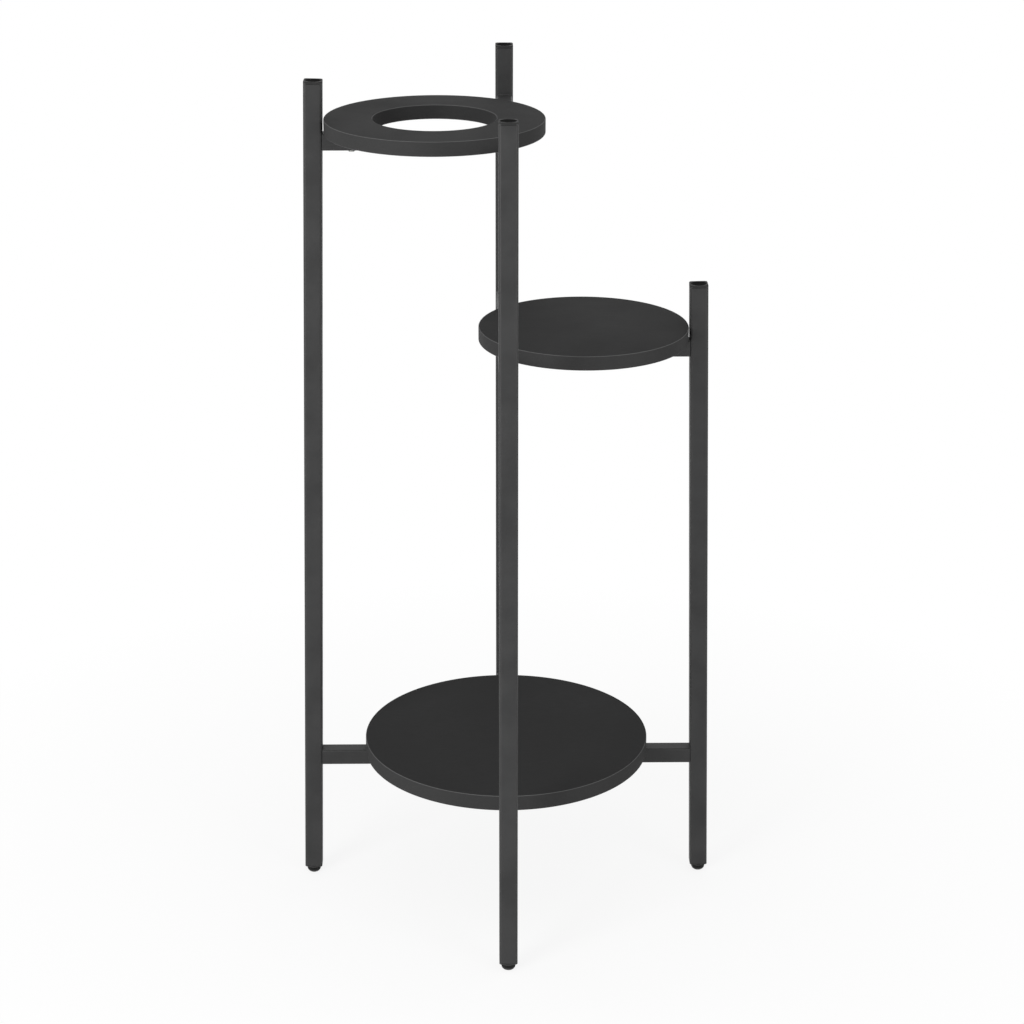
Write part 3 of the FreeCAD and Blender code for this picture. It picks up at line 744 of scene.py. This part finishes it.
WELD = 1.7 * MM
WELD_RIPPLE = 2.2 * MM  # run of the bead from one ripple to the next


def bead_loop(point, first, second, sweep, size):
    """A weld's section: an arc from one direction round to the other, closed inside the metal."""
    steps = 6
    sunk = 0.3 * MM
    bead_wear = 0.3
    loop = []
    for step in range(steps + 1):
        angle = sweep * step / steps
        loop.append((point + (first * cos(angle) + second * sin(angle)) * size, bead_wear))
    loop.append((point - (first + second) * sunk, 0))
    return loop


def rippled(travelled, size):
    """The size of a weld bead after a given run, a little thicker at each ripple."""
    thinnest = 0.86
    swell = 0.28
    return size * (thinnest + swell * abs(sin(pi * travelled / WELD_RIPPLE)))


def weld_round_rail_end(rail, side):
    """The closed bead round a cross rail's end, on the leg's inner face and no wider than the leg."""
    z = rail_height(rail)
    outline = rounded_square(RAIL_SIDE, RAIL_CORNER, along=26)
    inner = RAIL_SIDE / 2 - RAIL_CORNER
    widest = LEG_SIDE / 2 - 0.1 * MM
    towards_rail = Vector((-1, 0, 0))
    loops = []
    travelled = 0
    for index, (u, v, wear_and_painted_light) in enumerate(outline):
        travelled += hypot(u - outline[index - 1][0], v - outline[index - 1][1])
        core = Vector((0, max(-inner, min(inner, u)), max(-inner, min(inner, v))))
        outwards = (Vector((0, u, v)) - core).normalized()
        point = Vector((leg_face(z + v), u, v))
        bead = bead_loop(point, outwards, towards_rail, pi / 2, rippled(travelled, WELD))
        for bead_point, bead_wear in bead:
            bead_point.y = max(-widest, min(widest, bead_point.y))
        loops.append(bead)
    return moved(through(loops, around=True), along_heading(side, z))


def straight_bead(start, finish, first, second, sweep, size):
    """A straight bead that thins out at both ends."""
    step_length = 0.55 * MM
    end_size = 0.35
    fade_rate = 8
    length = (finish - start).length
    steps = round(length / step_length)
    loops = []
    for step in range(steps + 1):
        share = step / steps
        fade = min(1, end_size + fade_rate * min(share, 1 - share))
        point = start.lerp(finish, share)
        loops.append(bead_loop(point, first, second, sweep, rippled(length * share, size) * fade))
    return through(loops)


def weld_side_rail(rail, side):
    """Beads where a side rail meets the cross rail: up both sides, and along the seam below."""
    face = RAIL_SIDE / 2
    upright = face * 0.72
    outwards = Vector((1, 0, 0))
    beads = []
    for hand in (1, -1):
        beads.append(straight_bead(Vector((face, hand * face, -upright)),
                                   Vector((face, hand * face, upright)),
                                   Vector((0, hand, 0)), outwards, pi / 2, WELD))
    into_corner = 0.7 * MM
    seam = face - into_corner
    seam_end = face * 0.8
    beads.append(straight_bead(Vector((seam, -seam_end, -seam)), Vector((seam, seam_end, -seam)),
                               -outwards, Vector((0, 0, -1)), pi, WELD * 0.85))
    return moved(together(beads), along_heading(side, rail_height(rail)))


def make_welds(tier, side_rails):
    """All beads of one tier, as one piece."""
    beads = [weld_round_rail_end(f"{tier}_cross_rail", side) for side in ("front", "back")]
    beads += [weld_side_rail(f"{tier}_{side}_rail", side) for side in side_rails]
    name = f"{tier}_weld_beads"
    present(name, mesh_of(name, together(beads)), powder_coat)


# ---------------------------------------------------------------- fasteners

def make_bolts(node, side):
    """Flush countersunk bolts with a hexagon socket."""
    count = 48
    soft = 0.15 * MM
    edge_wear = 0.4
    socket = hexagon_radius(4 * MM)
    socket_depth = 1.8 * MM
    tip = LEG_SIDE + 15 * MM
    tip_chamfer = 0.8 * MM
    places = circle(1, count)
    loops = [level(ring_like(places, socket), socket_depth),
             level(ring_like(places, socket), soft),
             level(ring_like(places, lambda angle: socket(angle) + soft), 0)]
    loops += lathe_loops((
        (BOLT_HEAD_RADIUS - soft, 0, edge_wear),
        (BOLT_HEAD_RADIUS, soft, edge_wear),
        (BOLT_RADIUS, BOLT_HEAD_HEIGHT, 0),
        (BOLT_RADIUS, tip - tip_chamfer, 0),
        (BOLT_RADIUS - tip_chamfer, tip, 0),
    ), count)
    bolts = [moved(through(loops), bolt_place(side, rail_height(rail))) for rail in BOLTED_RAILS[side]]
    name = f"{side}_flush_bolts"
    present(name, mesh_of(name, together(bolts)), black_steel, replaces=(node,))


def solid_centres(node):
    """The middle of each separate solid in a CAD node."""
    mesh = frame["nodes"][node].data
    world = frame["nodes"][node].matrix_world
    loose = bmesh.new()
    loose.from_mesh(mesh)
    bmesh.ops.remove_doubles(loose, verts=loose.verts, dist=1e-6)
    waiting = set(loose.verts)
    centres = []
    while waiting:
        island = [waiting.pop()]
        for vertex in island:
            for edge in vertex.link_edges:
                other = edge.other_vert(vertex)
                if other in waiting:
                    waiting.remove(other)
                    island.append(other)
        points = [world @ vertex.co for vertex in island]
        low = Vector(min(point[axis] for point in points) for axis in range(3))
        high = Vector(max(point[axis] for point in points) for axis in range(3))
        centres.append((low + high) / 2)
    loose.free()
    return centres


def make_screws(tier):
    """Pan-head wood screws with a cross recess, up through the cross rail into the board."""
    count = 96
    head_height = 2.4 * MM
    head_radius = 3.9 * MM
    crown_radius = 3.2 * MM
    shank = 2 * MM
    tip = RAIL_SIDE + 11 * MM
    tip_length = 2 * MM
    recess = (  # length and width of its arms at each depth
        (2.4 * MM, 0.7 * MM, 1.5 * MM),
        (3.8 * MM, 1.1 * MM, 0.1 * MM),
        (4.0 * MM, 1.3 * MM, 0),
    )
    places = circle(1, count)
    loops = [level(ring_like(places, cross_radius(length, width)), depth - head_height)
             for length, width, depth in recess]
    loops += lathe_loops(rounded_profile((
        (2.5 * MM, -head_height, 0),
        (crown_radius, -head_height, 1.0 * MM),
        (head_radius, -0.9 * MM, 0.3 * MM),
        (head_radius, -0.15 * MM, 0.1 * MM),
        (head_radius - 0.2 * MM, 0, 0),
        (shank, 0, 0),
        (shank, tip - tip_length, 0),
        (0.4 * MM, tip, 0),
    )), count)
    node = f"{tier}_shelf_screws"
    under_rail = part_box(f"{tier}_cross_rail")[0].z
    screws = []
    for centre in solid_centres(node):
        place = Matrix.Translation((centre.x, centre.y, under_rail))
        screws.append(moved(through(loops), place))
    name = f"{tier}_board_screws"
    present(name, mesh_of(name, together(screws)), zinc, replaces=(node,))


# ---------------------------------------------------------------- boards

BOARD_ROUNDING = 1.3 * MM
BOARD_PARTS = 256  # parts of a board's circle
# how far the board's rim is painted lighter, as painted light
RIM_PAINTED_LIGHT = 0.6


def board_size(node):
    """A board's radius, thickness and place, from its CAD node."""
    low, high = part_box(node)
    place = Matrix.Translation(((low.x + high.x) / 2, 0, low.z))
    return (high.x - low.x) / 2, high.z - low.z, place


def board_loops(corners, radius):
    """Loops of a board's profile, with the outer rim marked for painted light."""
    profile = []
    for r, z, wear_and_painted_light in rounded_profile(corners):
        on_rim = abs(r - radius) < 0.01 * MM
        profile.append((r, z, max(wear_and_painted_light, RIM_PAINTED_LIGHT) if on_rim else wear_and_painted_light))
    return lathe_loops(profile, BOARD_PARTS)


def make_board(node, name):
    """A round board with soft edges."""
    radius, thickness, place = board_size(node)
    middle = 2 * MM
    loops = board_loops((
        (middle, 0, 0),
        (radius, 0, BOARD_ROUNDING),
        (radius, thickness, BOARD_ROUNDING),
        (middle, thickness, 0),
    ), radius)
    mesh = mesh_of(name, moved(through(loops), place))
    present(name, mesh, board_paint, replaces=(node,))


def make_ring_board(node, name, hole_radius):
    """The upper board, with soft edges outside and round its pot hole.

    Its profile starts and ends underneath, a little apart.
    """
    apart = 1 * MM
    radius, thickness, place = board_size(node)
    middle = (radius + hole_radius) / 2
    loops = board_loops((
        (middle, 0, 0),
        (radius, 0, BOARD_ROUNDING),
        (radius, thickness, BOARD_ROUNDING),
        (hole_radius, thickness, BOARD_ROUNDING),
        (hole_radius, 0, BOARD_ROUNDING),
        (middle - apart, 0, 0),
    ), radius)
    mesh = mesh_of(name, moved(through(loops, around=True), place))
    present(name, mesh, board_paint, replaces=(node,))


# ---------------------------------------------------------------- the stand

for side in HEADINGS:
    make_leg(side)
    make_cap(side)
    make_foot_insert(side)
    make_foot(side)

make_rail("bottom_cross_rail", "back")
make_rail("middle_cross_rail", "back")
make_rail("upper_cross_rail", "back")
make_rail("bottom_left_rail", "left", inner_end=RAIL_SIDE / 2)
make_rail("bottom_right_rail", "right", inner_end=RAIL_SIDE / 2)
make_rail("middle_right_rail", "right", inner_end=RAIL_SIDE / 2)
make_rail("upper_left_rail", "left", inner_end=-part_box("upper_left_rail")[1].x)
make_stub_plug()

make_board("bottom_shelf", "bottom_round_board")
make_board("middle_shelf", "middle_round_board")
make_ring_board("upper_shelf_ring", "upper_ring_board", RING_HOLE_RADIUS)

make_welds("bottom", ("left", "right"))
make_welds("middle", ("right",))
make_welds("upper", ())
make_bolts("left_leg_bolts", "left")
make_bolts("right_leg_bolts", "right")
for tier in ("bottom", "middle", "upper"):
    make_screws(tier)

# the CAD nodes that stay are the inserts in the rails
for cad_object in frame["nodes"].values():
    if not cad_object.hide_render:
        for material_slot in cad_object.material_slots:
            material_slot.material = rail_insert_plastic


# ---------------------------------------------------------------- studio

FLOOR_HALF = 30
FLOOR_WHITENESS = 0.86  # share of plain white under the stand, where the rest keeps its shadow
SHADOW_REACH = (0.3, 0.9)  # distances from the middle at which the white starts to rise and is whole
WORLD_LIGHT = 0.44

CAMERA_LENS = 91.102  # millimetres, as is the sensor
CAMERA_SENSOR = 36
CAMERA_PLACE = (-0.03028, -2.72116, 1.47952)
CAMERA_TURN = (radians(69.316), radians(-0.0462), radians(-0.7583))


def seen_directly(nodes, links):
    """1 for a ray from the camera, or one mirrored or bent on its way there, and 0 for other rays."""
    path = nodes.new("ShaderNodeLightPath")
    seen = path.outputs["Is Camera Ray"]
    for kind in ("Is Glossy Ray", "Is Transmission Ray"):
        either = nodes.new("ShaderNodeMath")
        either.operation = "MAXIMUM"
        links.new(seen, either.inputs[0])
        links.new(path.outputs[kind], either.inputs[1])
        seen = either.outputs["Value"]
    return seen


def make_floor():
    """A matt pale floor, mostly white to the camera, that keeps a soft part of the stand's shadow."""
    mesh = bpy.data.meshes.new("studio floor")
    corners = [(x * FLOOR_HALF, y * FLOOR_HALF, 0) for x, y in ((-1, -1), (1, -1), (1, 1), (-1, 1))]
    mesh.from_pydata(corners, [], [(0, 1, 2, 3)])
    piece = bpy.data.objects.new("studio_floor", mesh)
    bpy.context.scene.collection.objects.link(piece)
    paint = Paint("pale studio floor")
    paint.set(Roughness=1.0, Specular_IOR_Level=0.0, Base_Color=grey(0.93))
    distance = paint.nodes.new("ShaderNodeVectorMath")
    distance.operation = "LENGTH"
    paint.links.new(paint.place, distance.inputs[0])
    whiteness = paint.between(distance.outputs["Value"], SHADOW_REACH, (FLOOR_WHITENESS, 1))
    white = paint.nodes.new("ShaderNodeEmission")
    mix = paint.nodes.new("ShaderNodeMixShader")
    paint.links.new(paint.times(whiteness, seen_directly(paint.nodes, paint.links)), mix.inputs[0])
    paint.links.new(paint.shader.outputs[0], mix.inputs[1])
    paint.links.new(white.outputs[0], mix.inputs[2])
    paint.links.new(mix.outputs[0], paint.nodes["Material Output"].inputs["Surface"])
    mesh.materials.append(paint.material)


def make_world():
    """A white surround, dimmer where it only lights matt surfaces."""
    world = bpy.data.worlds.new("studio")
    bpy.context.scene.world = world
    world.use_nodes = True
    nodes = world.node_tree.nodes
    links = world.node_tree.links
    dim = nodes["Background"]
    white = nodes.new("ShaderNodeBackground")
    mix = nodes.new("ShaderNodeMixShader")
    for background, strength in ((dim, WORLD_LIGHT), (white, 1)):
        background.inputs["Color"].default_value = grey(1)
        background.inputs["Strength"].default_value = strength
    links.new(seen_directly(nodes, links), mix.inputs[0])
    links.new(dim.outputs[0], mix.inputs[1])
    links.new(white.outputs[0], mix.inputs[2])
    links.new(mix.outputs[0], nodes["World Output"].inputs["Surface"])


def add_softbox(name, place, target, size, power):
    light = bpy.data.lights.new(name, "AREA")
    light.shape = "RECTANGLE"
    light.size, light.size_y = size
    light.energy = power
    lamp = bpy.data.objects.new(name, light)
    bpy.context.scene.collection.objects.link(lamp)
    lamp.location = place
    lamp.rotation_euler = (Vector(target) - Vector(place)).to_track_quat("-Z", "Y").to_euler()


def add_camera():
    optics = bpy.data.cameras.new("photo camera")
    optics.lens = CAMERA_LENS
    optics.sensor_width = CAMERA_SENSOR
    optics.clip_end = 100
    camera = bpy.data.objects.new("photo camera", optics)
    bpy.context.scene.collection.objects.link(camera)
    camera.location = CAMERA_PLACE
    camera.rotation_euler = CAMERA_TURN
    bpy.context.scene.camera = camera


make_floor()
make_world()
add_softbox("left softbox", place=(-1.95, -2.35, 1.05), target=(0, 0, 0.4), size=(1.2, 1.8), power=72)
add_softbox("right fill", place=(2.3, -2.5, 0.9), target=(0, 0, 0.45), size=(1.4, 1.8), power=36)
add_softbox("overhead softbox", place=(0.2, -0.3, 3.2), target=(0, 0, 0.4), size=(2.6, 2.6), power=20)
add_camera()
bpy.context.scene.view_settings.view_transform = "Standard"
